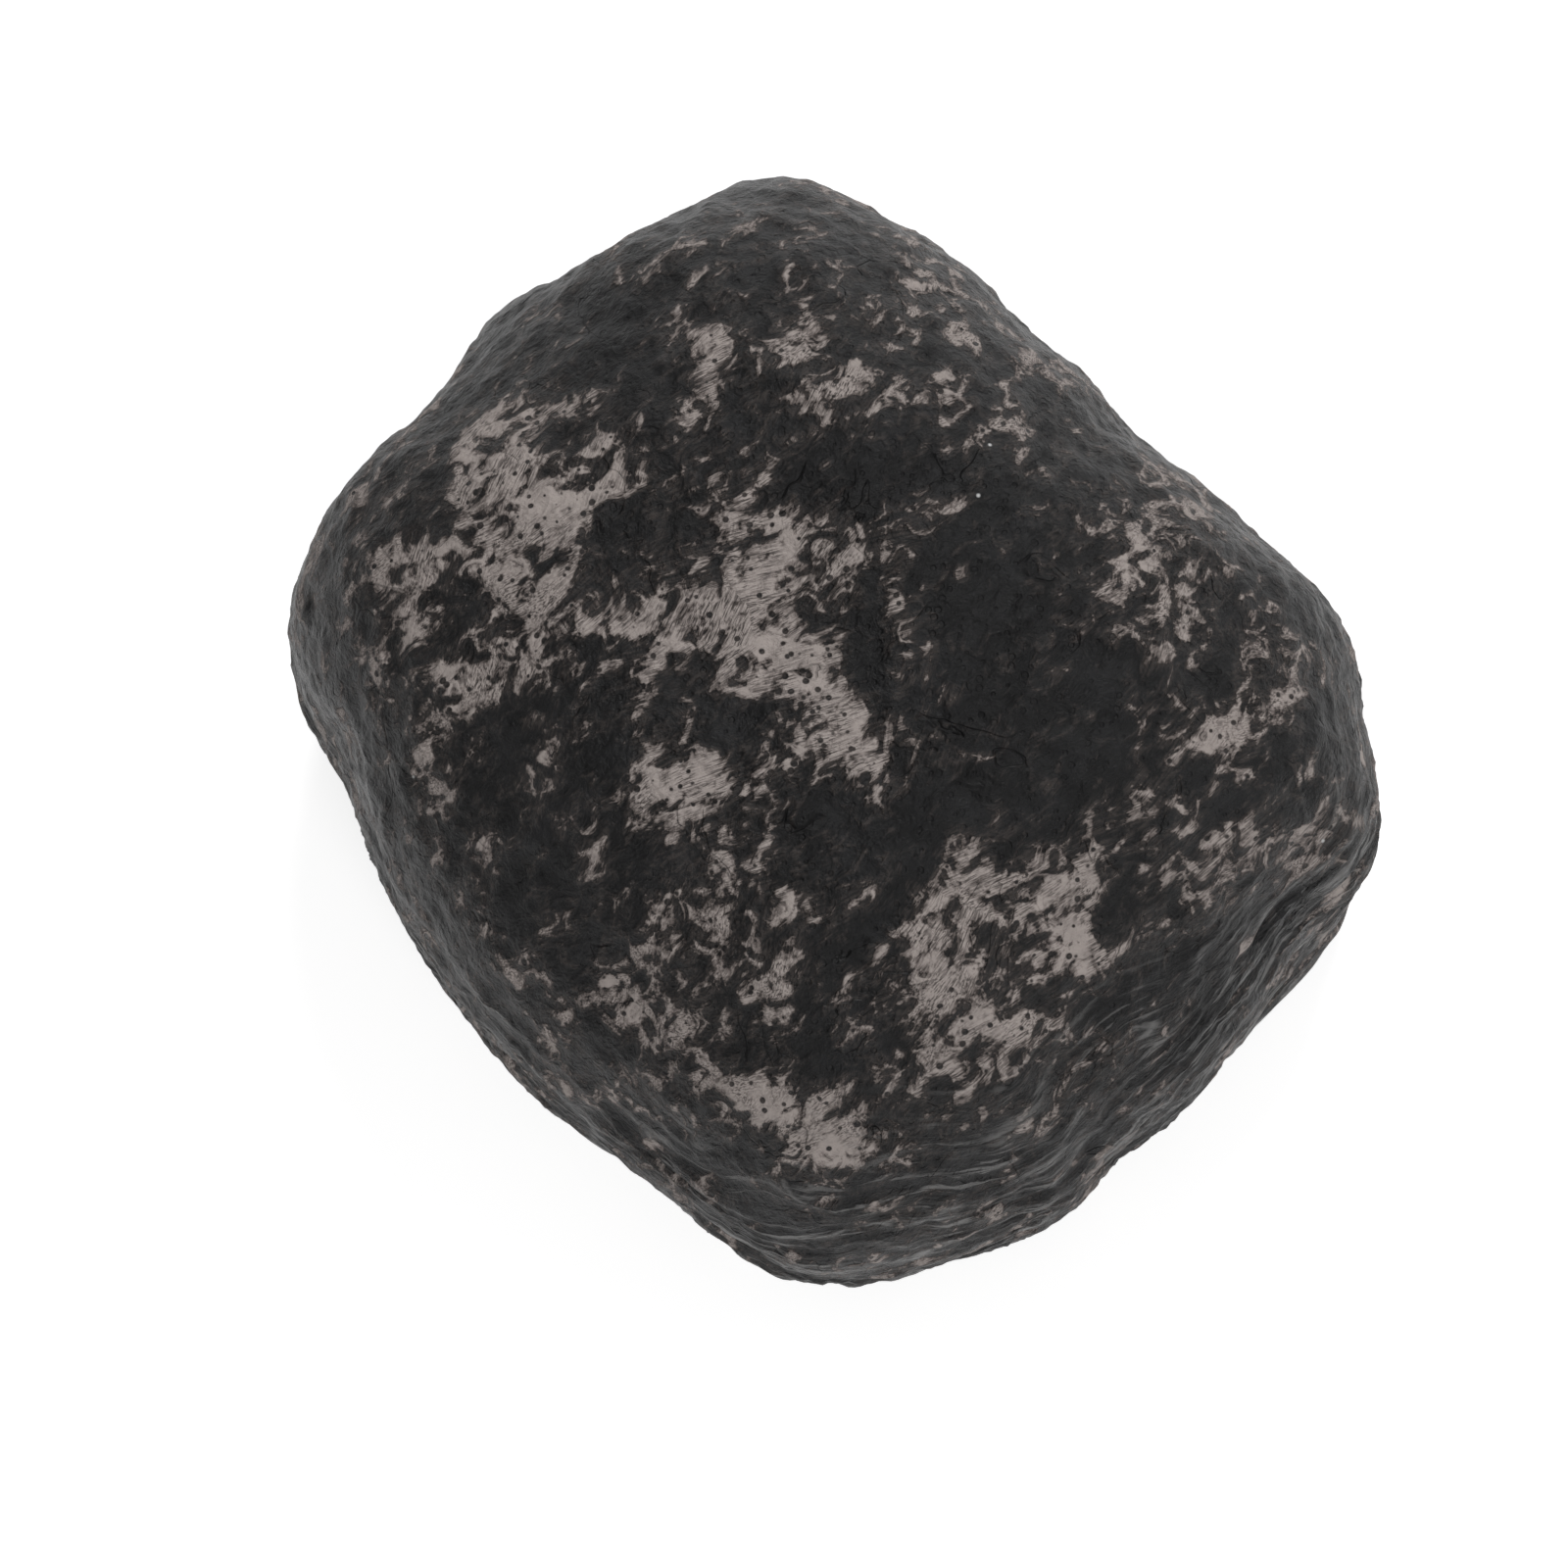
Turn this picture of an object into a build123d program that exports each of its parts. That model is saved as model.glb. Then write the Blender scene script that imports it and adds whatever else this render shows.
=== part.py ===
from build123d import *
import os
from math import copysign, cos, hypot, radians, sin, tan

os.makedirs("parts", exist_ok=True)

# A hollow resin rock that hides a spare key. It stands on its rim at z = 0, and a screwed base plate
# closes it from below. The plate holds a tray for the keys, behind a hinged door with a quarter-turn latch.
# Millimetres. X is the long way of the rock, Z is up, and the origin is the middle of the bottom.

# Rock
ROCK_LENGTH = 158.0
ROCK_WIDTH = 139.0
ROCK_HEIGHT = 74.0
WIDEST_HEIGHT = 22.0     # height of the widest level
UNDERCUT_RATIO = 0.05    # share that the rim draws in under the widest level
FULLNESS = 2.5           # 2 is a plain dome, more is a broader plateau
CROWN_ANGLE = 80.0       # how far up the dome the sections go before the flat cap
TOP_TILT = 3.0           # degrees that the plateau rises towards -X
TOP_SHIFT_BACK = 3.0     # of the plateau towards -X
TOP_SHIFT_LEFT = 2.0     # and towards +Y
WALL = 6.0
FLOOR_THICKNESS = 13.0
LOWER_SECTIONS = 2
UPPER_SECTIONS = 8

# Outline of the widest level, as shares of the half length and half width
OUTLINE = (
    (0.98, 0.02), (0.85, 0.50), (0.73, 0.82), (0.48, 0.96), (0.19, 0.98), (-0.18, 0.85),
    (-0.43, 0.76), (-0.73, 0.62), (-0.99, 0.28), (-0.97, -0.08), (-0.86, -0.46), (-0.75, -0.84),
    (-0.46, -0.98), (0.00, -0.98), (0.36, -0.89), (0.63, -0.74), (0.86, -0.60), (0.97, -0.30),
)

# Base plate, with its middle at BASE_X, BASE_Y
BASE_X = 3.0
BASE_Y = -1.0
BASE_RECESS = 1.5        # from the rim up to the plate
PLATE_CORNER = 14.0
PLATE_THICKNESS = 4.0
PLATE_GAP = 0.3          # round the plate in its rebate
PLATE_CHAMFER = 0.5
LEDGE = 9.0              # width of the ledge that the plate is screwed to
LEDGE_CORNER = 12.0
GASKET_THICKNESS = 1.0

# Fasteners
FIT = 0.05               # radial clearance of a fit
MOST_ROUND = 0.49        # largest corner radius, as a share of a block's side
HOLE_GAP = 0.3           # radial clearance of a through hole
BASE_SCREW_DIAMETER = 4.0
BASE_SCREW_HEAD = 7.4
BASE_SCREW_HEAD_HEIGHT = 2.4
BASE_SCREW_INSET = 8.0   # from the plate's sides
BASE_SCREW_HEX = 2.5
BASE_SCREW_HEX_DEPTH = 1.4
INSERT_DIAMETER = 6.0
INSERT_LENGTH = 5.5
TRAY_SCREW_DIAMETER = 3.0
TRAY_SCREW_HEAD = 5.5
TRAY_SCREW_HEAD_HEIGHT = 1.8
TRAY_SCREW_HEX = 2.0
TRAY_SCREW_HEX_DEPTH = 0.9
TRAY_SCREW_BITE = 2.8    # length of screw in the plate
TRAY_SCREW_INSET = 3.0   # from the flange's ends
DRILL_POINT = 0.2        # that a blind hole is deeper than its screw

# Key tray
KEY_SPACE_LENGTH = 64.0
KEY_SPACE_WIDTH = 34.0
KEY_SPACE_DEPTH = 24.0
KEY_SPACE_CORNER = 5.0
TRAY_WALL = 2.0
FLANGE_THICKNESS = 2.0
FLANGE_END = 10.0        # flange beyond the key space at its ends
FLANGE_SIDE = 4.5        # flange beyond the key space at its sides
FLANGE_GAP = 3.0         # between the flange's ends and the ledge
TRAY_FOAM_THICKNESS = 4.0
DOOR_FOAM_THICKNESS = 3.0
TRAY_FOAM_MARGIN = 0.5
DOOR_FOAM_MARGIN = 3.0

# Door
SEAL_LAND = 4.0
LATCH_ZONE = 13.0
DOOR_THICKNESS = 3.0
DOOR_CORNER = 4.0
DOOR_GAP = 0.4
DOOR_HINGE_GAP = 0.9
DOOR_CHAMFER = 0.4
SEAL_WIDTH = 2.2
SEAL_INSET = 0.4
SEAL_GAP = 0.3           # between the seal and the tray

# Hinge, along X
HINGE_SETBACK = 2.5      # from the door opening to the pin
HINGE_HEIGHT = 1.4       # of the pin above the plate's underside
KNUCKLE_RADIUS = 2.2
PIN_RADIUS = 1.0
DOOR_KNUCKLE = 27.4
PLATE_KNUCKLE = 10.0
KNUCKLE_GAP = 0.3
SLOT_GAP = 0.4
SLOT_WALL = 3.0          # between the hinge's slot and the ledge

# Latch
LATCH_EDGE = 6.5         # from the door opening's front to the latch's axis
KNOB_RADIUS = 6.0
KNOB_THICKNESS = 1.6
STEM_RADIUS = 3.0
STEM_SQUARE = 4.2
COIN_SLOT_WIDTH = 1.6
COIN_SLOT_DEPTH = 1.0
BOSS_RADIUS = 5.5
BOSS_HEIGHT = 4.5
WASHER_RADIUS = 4.8
WASHER_THICKNESS = 0.5
CAM_REACH = 10.0
CAM_WIDTH = 6.0
CAM_THICKNESS = 2.0
CAM_SCREW_DIAMETER = 2.5
CAM_SCREW_HEAD = 6.4
CAM_SCREW_HEAD_HEIGHT = 1.5
CAM_SCREW_HEX = 2.0
CAM_SCREW_HEX_DEPTH = 0.8
CAM_SCREW_BITE = 2.3     # length of screw below the cam
ORING_RADIUS = 0.45      # of the ring's section
ORING_GROOVE_RADIUS = 2.0
ORING_GROOVE_WIDTH = 1.2
ORING_HEIGHT = 0.5       # from the door's top to the groove
KEEPER_WALL = 1.0
KEEPER_LENGTH = 12.0
KEEPER_WIDTH = 3.4
KEEPER_GAP = 0.6         # between the keeper and the ledge
CAM_GAP = 0.2

# Finger notch in the plate, at the door's front
NOTCH_RADIUS = 10.0
NOTCH_DEPTH = 2.0
NOTCH_X = 22.0

# Levels and places that follow from the sizes above
plate_bottom = BASE_RECESS
plate_top = plate_bottom + PLATE_THICKNESS
ledge_level = plate_top + GASKET_THICKNESS
door_top = plate_bottom + DOOR_THICKNESS
flange_top = plate_top + FLANGE_THICKNESS
tray_roof = plate_top + KEY_SPACE_DEPTH

behind_key_space = SLOT_WALL + 2 * HINGE_SETBACK + SEAL_LAND
before_key_space = SEAL_LAND + LATCH_ZONE + KEEPER_WALL + KEEPER_WIDTH + KEEPER_GAP
opening_length = KEY_SPACE_LENGTH + 2 * (FLANGE_END + FLANGE_GAP)
opening_width = behind_key_space + KEY_SPACE_WIDTH + before_key_space
plate_length = opening_length + 2 * LEDGE
plate_width = opening_width + 2 * LEDGE

key_back = behind_key_space - opening_width / 2
key_front = key_back + KEY_SPACE_WIDTH
key_y = (key_back + key_front) / 2
door_back = key_back - SEAL_LAND
door_front = key_front + SEAL_LAND + LATCH_ZONE
door_opening_length = KEY_SPACE_LENGTH + 2 * SEAL_LAND
hinge_y = door_back - HINGE_SETBACK
hinge_z = plate_bottom + HINGE_HEIGHT
latch_y = door_front - LATCH_EDGE
boss_top = door_top + BOSS_HEIGHT
cam_bottom = boss_top + WASHER_THICKNESS
cam_top = cam_bottom + CAM_THICKNESS
hinge_length = DOOR_KNUCKLE + 2 * (KNUCKLE_GAP + PLATE_KNUCKLE)

BOTTOM = (Align.CENTER, Align.CENTER, Align.MIN)
BASE = Pos(BASE_X, BASE_Y, 0)


def block(length, width, bottom, top, x=0.0, y=0.0):
    return Pos(x, y, bottom) * Box(length, width, top - bottom, align=BOTTOM)


def rounded_block(length, width, corner, bottom, top, x=0.0, y=0.0):
    radius = min(corner, MOST_ROUND * length, MOST_ROUND * width)
    return Pos(x, y, bottom) * extrude(RectangleRounded(length, width, radius), amount=top - bottom)


def disc(radius, bottom, top, x=0.0, y=0.0):
    return Pos(x, y, bottom) * Cylinder(radius, top - bottom, align=BOTTOM)


def rod_along_x(radius, length, y, z, x=0.0):
    return Pos(x, y, z) * Rot(0, 90, 0) * Cylinder(radius, length)


def corners(x, y_low, y_high):
    return [(side * x, y) for side in (-1, 1) for y in (y_low, y_high)]


def cap_screw(diameter, head, across, hex_depth, tip, seat, end):
    """Screw along Z: its shank from the tip to the seat of its head, which reaches to the end."""
    screw = disc(diameter / 2, min(tip, seat), max(tip, seat))
    screw += disc(head / 2, min(seat, end), max(seat, end))
    hexagon = RegularPolygon(across / 2, 6, major_radius=False)
    return screw - Pos(0, 0, end) * extrude(hexagon, amount=copysign(hex_depth, seat - end))


base_screw_places = corners(
    plate_length / 2 - BASE_SCREW_INSET,
    BASE_SCREW_INSET - plate_width / 2,
    plate_width / 2 - BASE_SCREW_INSET,
)
tray_screw_places = corners(
    KEY_SPACE_LENGTH / 2 + FLANGE_END - TRAY_SCREW_INSET,
    key_back,
    key_front - TRAY_SCREW_HEAD / 2,
)


def rock_levels(bottom, top):
    """Heights of the sections and the share of the full outline at each."""
    levels = []
    for step in range(LOWER_SECTIONS):
        height = bottom + (WIDEST_HEIGHT - bottom) * step / LOWER_SECTIONS
        below = (WIDEST_HEIGHT - height) / WIDEST_HEIGHT
        levels.append((height, 1 - UNDERCUT_RATIO * below ** 2))
    power = 2 / FULLNESS
    highest = sin(radians(CROWN_ANGLE)) ** power
    for step in range(UPPER_SECTIONS + 1):
        angle = radians(CROWN_ANGLE) * step / UPPER_SECTIONS
        rise = sin(angle) ** power / highest
        levels.append((WIDEST_HEIGHT + (top - WIDEST_HEIGHT) * rise, cos(angle) ** power))
    return levels


def rock_section(height, share, inset):
    """Closed curve round the rock at one height, drawn in by the inset."""
    above = max(0.0, height - WIDEST_HEIGHT) / (ROCK_HEIGHT - WIDEST_HEIGHT)
    points = []
    for across, along in OUTLINE:
        x = across * ROCK_LENGTH / 2 * share
        y = along * ROCK_WIDTH / 2 * share
        kept = 1 - inset / hypot(x, y)
        x = x * kept
        y = y * kept
        z = height - above * x * tan(radians(TOP_TILT))
        points.append((x - above * TOP_SHIFT_BACK, y + above * TOP_SHIFT_LEFT, z))
    return Wire([Edge.make_spline(points, periodic=True)])


def rock_body(bottom, top, inset):
    wires = [rock_section(height, share, inset) for height, share in rock_levels(bottom, top)]
    return Part() + Solid.make_loft(wires)


def make_rock_shell():
    outside = rock_body(0, ROCK_HEIGHT, 0)
    middle = outside.bounding_box().center()
    shell = outside - rock_body(FLOOR_THICKNESS, ROCK_HEIGHT - WALL, WALL)
    shell = Pos(-middle.X, -middle.Y, 0) * shell
    rebate = rounded_block(
        plate_length + 2 * PLATE_GAP, plate_width + 2 * PLATE_GAP, PLATE_CORNER + PLATE_GAP,
        -BASE_RECESS, ledge_level,
    )
    opening = rounded_block(opening_length, opening_width, LEDGE_CORNER, 0, FLOOR_THICKNESS + WALL)
    shell -= BASE * rebate
    shell -= BASE * opening
    hole_top = ledge_level + INSERT_LENGTH + DRILL_POINT
    for x, y in base_screw_places:
        shell -= BASE * disc(INSERT_DIAMETER / 2 + FIT, ledge_level, hole_top, x, y)
    return shell


def make_base_inserts():
    inserts = []
    for x, y in base_screw_places:
        insert = disc(INSERT_DIAMETER / 2, ledge_level, ledge_level + INSERT_LENGTH, x, y)
        insert -= disc(BASE_SCREW_DIAMETER / 2 + FIT, ledge_level, ledge_level + INSERT_LENGTH, x, y)
        inserts.append(BASE * insert)
    return inserts


def make_base_gasket():
    gasket = rounded_block(plate_length, plate_width, PLATE_CORNER, plate_top, ledge_level)
    gasket -= rounded_block(opening_length, opening_width, LEDGE_CORNER, plate_top, ledge_level)
    for x, y in base_screw_places:
        gasket -= disc(BASE_SCREW_DIAMETER / 2 + HOLE_GAP, plate_top, ledge_level, x, y)
    return BASE * gasket


def make_base_plate():
    plate = rounded_block(plate_length, plate_width, PLATE_CORNER, plate_bottom, plate_top)
    plate = chamfer(plate.faces().sort_by(Axis.Z)[0].edges(), PLATE_CHAMFER)
    opening_y = (door_back + door_front) / 2
    opening_width_y = door_front - door_back
    plate -= rounded_block(
        door_opening_length, opening_width_y, DOOR_CORNER, plate_bottom, plate_top, 0, opening_y
    )
    slot_back = hinge_y - HINGE_SETBACK
    slot_front = door_back + DOOR_CORNER
    slot_length = hinge_length + 2 * SLOT_GAP
    plate -= block(
        slot_length, slot_front - slot_back, plate_bottom, plate_top, 0, (slot_back + slot_front) / 2
    )
    for side in (-1, 1):
        x = side * (DOOR_KNUCKLE / 2 + KNUCKLE_GAP + PLATE_KNUCKLE / 2)
        knuckle = rod_along_x(KNUCKLE_RADIUS, PLATE_KNUCKLE, hinge_y, hinge_z, x)
        knuckle += block(
            PLATE_KNUCKLE, HINGE_SETBACK, plate_bottom, hinge_z + HINGE_HEIGHT,
            x, hinge_y - HINGE_SETBACK / 2,
        )
        knuckle -= rod_along_x(PIN_RADIUS + FIT, PLATE_KNUCKLE, hinge_y, hinge_z, x)
        plate += knuckle
    keeper_y = door_front + KEEPER_WALL + KEEPER_WIDTH / 2
    plate += block(KEEPER_LENGTH, KEEPER_WIDTH, plate_top, cam_bottom - CAM_GAP, 0, keeper_y)
    plate -= Pos(NOTCH_X, door_front, plate_bottom + NOTCH_DEPTH - NOTCH_RADIUS) * Sphere(NOTCH_RADIUS)
    head_top = plate_bottom + BASE_SCREW_HEAD_HEIGHT
    for x, y in base_screw_places:
        plate -= disc(BASE_SCREW_DIAMETER / 2 + HOLE_GAP, plate_bottom, plate_top, x, y)
        plate -= disc(BASE_SCREW_HEAD / 2 + HOLE_GAP, plate_bottom, head_top, x, y)
    hole_bottom = plate_top - TRAY_SCREW_BITE - DRILL_POINT
    for x, y in tray_screw_places:
        plate -= disc(TRAY_SCREW_DIAMETER / 2 + FIT, hole_bottom, plate_top, x, y)
    return BASE * plate


def make_base_screws():
    screw = cap_screw(
        BASE_SCREW_DIAMETER, BASE_SCREW_HEAD, BASE_SCREW_HEX, BASE_SCREW_HEX_DEPTH,
        ledge_level + INSERT_LENGTH, plate_bottom + BASE_SCREW_HEAD_HEIGHT, plate_bottom,
    )
    return [BASE * Pos(x, y, 0) * screw for x, y in base_screw_places]


def make_key_tray():
    length = KEY_SPACE_LENGTH + 2 * TRAY_WALL
    width = KEY_SPACE_WIDTH + 2 * TRAY_WALL
    corner = KEY_SPACE_CORNER + TRAY_WALL
    roof_top = tray_roof + TRAY_WALL
    tray = rounded_block(length, width, corner, plate_top, roof_top, 0, key_y)
    tray = fillet(tray.faces().sort_by(Axis.Z)[-1].edges(), TRAY_WALL)
    tray += rounded_block(
        KEY_SPACE_LENGTH + 2 * FLANGE_END, KEY_SPACE_WIDTH + 2 * FLANGE_SIDE, DOOR_CORNER,
        plate_top, flange_top, 0, key_y,
    )
    tray -= rounded_block(
        KEY_SPACE_LENGTH, KEY_SPACE_WIDTH, KEY_SPACE_CORNER, plate_top, tray_roof, 0, key_y
    )
    for x, y in tray_screw_places:
        tray -= disc(TRAY_SCREW_DIAMETER / 2 + HOLE_GAP, plate_top, flange_top, x, y)
    return BASE * tray


def make_tray_screws():
    screw = cap_screw(
        TRAY_SCREW_DIAMETER, TRAY_SCREW_HEAD, TRAY_SCREW_HEX, TRAY_SCREW_HEX_DEPTH,
        plate_top - TRAY_SCREW_BITE, flange_top, flange_top + TRAY_SCREW_HEAD_HEIGHT,
    )
    return [BASE * Pos(x, y, 0) * screw for x, y in tray_screw_places]


def make_tray_foam():
    return BASE * rounded_block(
        KEY_SPACE_LENGTH - 2 * TRAY_FOAM_MARGIN, KEY_SPACE_WIDTH - 2 * TRAY_FOAM_MARGIN,
        KEY_SPACE_CORNER - TRAY_FOAM_MARGIN, tray_roof - TRAY_FOAM_THICKNESS, tray_roof, 0, key_y,
    )


def make_hinge_pin():
    return BASE * rod_along_x(PIN_RADIUS, hinge_length, hinge_y, hinge_z)


def make_door():
    back = door_back + DOOR_HINGE_GAP
    front = door_front - DOOR_GAP
    door = rounded_block(
        door_opening_length - 2 * DOOR_GAP, front - back, DOOR_CORNER, plate_bottom, door_top,
        0, (back + front) / 2,
    )
    door = chamfer(door.faces().sort_by(Axis.Z)[0].edges(), DOOR_CHAMFER)
    arm_top = hinge_z + HINGE_HEIGHT
    door += block(
        DOOR_KNUCKLE, back + DOOR_CORNER - hinge_y, plate_bottom, arm_top,
        0, (hinge_y + back + DOOR_CORNER) / 2,
    )
    door += rod_along_x(KNUCKLE_RADIUS, DOOR_KNUCKLE, hinge_y, hinge_z)
    door -= rod_along_x(PIN_RADIUS + FIT, DOOR_KNUCKLE, hinge_y, hinge_z)
    door += disc(BOSS_RADIUS, plate_bottom + KNOB_THICKNESS, boss_top, 0, latch_y)
    door -= disc(STEM_RADIUS + FIT, plate_bottom, boss_top, 0, latch_y)
    door -= disc(KNOB_RADIUS + HOLE_GAP, plate_bottom, plate_bottom + KNOB_THICKNESS, 0, latch_y)
    return BASE * door


def make_door_seal():
    reach = SEAL_LAND - SEAL_INSET - DOOR_HINGE_GAP
    outer_length = KEY_SPACE_LENGTH + 2 * reach
    outer_width = KEY_SPACE_WIDTH + 2 * reach
    top = plate_top - SEAL_GAP
    corner = KEY_SPACE_CORNER + reach
    seal = rounded_block(outer_length, outer_width, corner, door_top, top, 0, key_y)
    seal -= rounded_block(
        outer_length - 2 * SEAL_WIDTH, outer_width - 2 * SEAL_WIDTH, corner - SEAL_WIDTH,
        door_top, top, 0, key_y,
    )
    return BASE * seal


def make_door_foam():
    return BASE * rounded_block(
        KEY_SPACE_LENGTH - 2 * DOOR_FOAM_MARGIN, KEY_SPACE_WIDTH - 2 * DOOR_FOAM_MARGIN,
        KEY_SPACE_CORNER, door_top, door_top + DOOR_FOAM_THICKNESS, 0, key_y,
    )


def make_latch_knob():
    head_top = plate_bottom + KNOB_THICKNESS
    knob = disc(KNOB_RADIUS, plate_bottom, head_top)
    knob += disc(STEM_RADIUS, head_top, cam_bottom)
    knob += block(STEM_SQUARE, STEM_SQUARE, cam_bottom, cam_top)
    knob -= block(2 * KNOB_RADIUS, COIN_SLOT_WIDTH, plate_bottom, plate_bottom + COIN_SLOT_DEPTH)
    groove_bottom = door_top + ORING_HEIGHT
    groove_top = groove_bottom + ORING_GROOVE_WIDTH
    groove = disc(STEM_RADIUS, groove_bottom, groove_top)
    groove -= disc(ORING_GROOVE_RADIUS, groove_bottom, groove_top)
    knob -= groove
    hole_bottom = cam_bottom - CAM_SCREW_BITE - DRILL_POINT
    knob -= disc(CAM_SCREW_DIAMETER / 2 + FIT, hole_bottom, cam_top)
    return BASE * Pos(0, latch_y, 0) * knob


def make_knob_oring():
    middle = ORING_GROOVE_RADIUS + FIT + ORING_RADIUS
    height = door_top + ORING_HEIGHT + ORING_GROOVE_WIDTH / 2
    return BASE * Pos(0, latch_y, height) * Torus(middle, ORING_RADIUS)


def make_cam_washer():
    washer = disc(WASHER_RADIUS, boss_top, cam_bottom)
    washer -= disc(STEM_RADIUS + FIT, boss_top, cam_bottom)
    return BASE * Pos(0, latch_y, 0) * washer


def make_latch_cam():
    tip = CAM_WIDTH / 2
    cam = disc(WASHER_RADIUS, cam_bottom, cam_top)
    cam += block(CAM_REACH - tip, CAM_WIDTH, cam_bottom, cam_top, (CAM_REACH - tip) / 2)
    cam += disc(tip, cam_bottom, cam_top, CAM_REACH - tip)
    square = STEM_SQUARE + 2 * FIT
    cam -= block(square, square, cam_bottom, cam_top)
    return BASE * Pos(0, latch_y, 0) * cam


def make_cam_screw():
    screw = cap_screw(
        CAM_SCREW_DIAMETER, CAM_SCREW_HEAD, CAM_SCREW_HEX, CAM_SCREW_HEX_DEPTH,
        cam_bottom - CAM_SCREW_BITE, cam_top, cam_top + CAM_SCREW_HEAD_HEIGHT,
    )
    return BASE * Pos(0, latch_y, 0) * screw


nodes = {
    "rock_shell": make_rock_shell(),
    "base_inserts": Compound(children=make_base_inserts()),
    "base_gasket": make_base_gasket(),
    "base_plate": make_base_plate(),
    "base_screws": Compound(children=make_base_screws()),
    "key_tray": make_key_tray(),
    "tray_screws": Compound(children=make_tray_screws()),
    "tray_foam": make_tray_foam(),
    "hinge_pin": make_hinge_pin(),
    "door": make_door(),
    "door_seal": make_door_seal(),
    "door_foam": make_door_foam(),
    "latch_knob": make_latch_knob(),
    "knob_oring": make_knob_oring(),
    "cam_washer": make_cam_washer(),
    "latch_cam": make_latch_cam(),
    "cam_screw": make_cam_screw(),
}

for name, shape in nodes.items():
    export_step(shape, f"parts/{name}.step")
    box = shape.bounding_box()
    print(f"{name}: {box.size.X:.2f} x {box.size.Y:.2f} x {box.size.Z:.2f} at {box.center()}")
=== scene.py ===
# The looks of a hollow key rock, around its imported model. Lengths are in metres, and it stands on
# z = 0 with its long way along X.

import math

import bmesh
import bpy
import numpy as np
from mathutils import Matrix, Vector, noise
from mathutils.bvhtree import BVHTree


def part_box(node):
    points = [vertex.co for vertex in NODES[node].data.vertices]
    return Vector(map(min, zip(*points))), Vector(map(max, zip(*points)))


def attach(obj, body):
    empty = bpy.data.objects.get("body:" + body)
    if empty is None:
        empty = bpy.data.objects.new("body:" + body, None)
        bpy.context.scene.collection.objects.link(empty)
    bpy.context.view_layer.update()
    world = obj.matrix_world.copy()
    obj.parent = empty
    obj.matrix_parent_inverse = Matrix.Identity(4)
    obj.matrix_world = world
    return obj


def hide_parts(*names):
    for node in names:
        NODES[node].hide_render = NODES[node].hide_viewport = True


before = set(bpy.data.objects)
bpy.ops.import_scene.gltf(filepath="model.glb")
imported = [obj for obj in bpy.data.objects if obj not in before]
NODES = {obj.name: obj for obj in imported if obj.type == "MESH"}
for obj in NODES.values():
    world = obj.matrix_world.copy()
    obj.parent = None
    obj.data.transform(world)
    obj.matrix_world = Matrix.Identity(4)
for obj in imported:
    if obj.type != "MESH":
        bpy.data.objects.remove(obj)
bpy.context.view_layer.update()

MM = 0.001

# ---------------------------------------------------------------- camera

IMAGE_WIDTH = 1600             # pixels of the photograph, which is square
LENS = 100.0                   # mm
SENSOR = 36.0                  # mm
CLIP_START = 10.0 * MM
CAMERA_AZIMUTH = math.radians(-5.0)     # from +X towards +Y
CAMERA_ELEVATION = math.radians(73.0)
CAMERA_ROLL = math.radians(-22.6)
CAMERA_DISTANCE = 626.0 * MM
AIM_HEIGHT = 37.0 * MM
SLIDE_RIGHT = -4.8 * MM
SLIDE_UP = -11.2 * MM


def camera_axes():
    """Right, up and forward of the camera, as unit vectors."""
    level = math.cos(CAMERA_ELEVATION)
    away = Vector((
        level * math.cos(CAMERA_AZIMUTH),
        level * math.sin(CAMERA_AZIMUTH),
        math.sin(CAMERA_ELEVATION),
    ))
    forward = -away
    right = forward.cross(Vector((0, 0, 1))).normalized()
    up = right.cross(forward)
    turn = Matrix.Rotation(CAMERA_ROLL, 3, -forward)
    return turn @ right, turn @ up, forward


RIGHT, UP, FORWARD = camera_axes()
CAMERA_PLACE = (
    Vector((0, 0, AIM_HEIGHT)) - FORWARD * CAMERA_DISTANCE + RIGHT * SLIDE_RIGHT + UP * SLIDE_UP
)
FOCAL_PIXELS = LENS / SENSOR * IMAGE_WIDTH


def make_camera():
    data = bpy.data.cameras.new("photo_camera")
    data.lens = LENS
    data.sensor_width = SENSOR
    data.clip_start = CLIP_START
    camera = bpy.data.objects.new("photo_camera", data)
    bpy.context.scene.collection.objects.link(camera)
    place = Matrix((RIGHT, UP, -FORWARD)).transposed().to_4x4()
    place.translation = CAMERA_PLACE
    camera.matrix_world = place
    bpy.context.scene.camera = camera


def photo_pixels(points):
    """Where points, an n by 3 array in metres, fall in the photograph."""
    offset = points - np.array(CAMERA_PLACE)
    depth = offset @ np.array(FORWARD)
    x = IMAGE_WIDTH / 2 + FOCAL_PIXELS * (offset @ np.array(RIGHT)) / depth
    y = IMAGE_WIDTH / 2 - FOCAL_PIXELS * (offset @ np.array(UP)) / depth
    return x, y


make_camera()

# ---------------------------------------------------------------- node helpers


def add(tree, kind, settings=None, **inputs):
    """Adds a shader node. An input's name has _ for a space, or is i0, i1 for its number."""
    node = tree.nodes.new("ShaderNode" + kind)
    for key, value in (settings or {}).items():
        setattr(node, key, value)
    for key, value in inputs.items():
        numbered = key[0] == "i" and key[1:].isdigit()
        socket = node.inputs[int(key[1:])] if numbered else node.inputs[key.replace("_", " ")]
        if isinstance(value, bpy.types.NodeSocket):
            tree.links.new(value, socket)
        else:
            socket.default_value = value
    return node


def maths(tree, operation, *values):
    inputs = {f"i{number}": value for number, value in enumerate(values)}
    return add(tree, "Math", {"operation": operation}, **inputs).outputs[0]


def product(tree, first, second):
    return maths(tree, "MULTIPLY", first, second)


def weighted_sum(tree, *terms):
    """The sum of terms, each a value and its weight."""
    total = 0.0
    for value, weight in terms:
        total = maths(tree, "MULTIPLY_ADD", value, weight, total)
    return total


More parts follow.
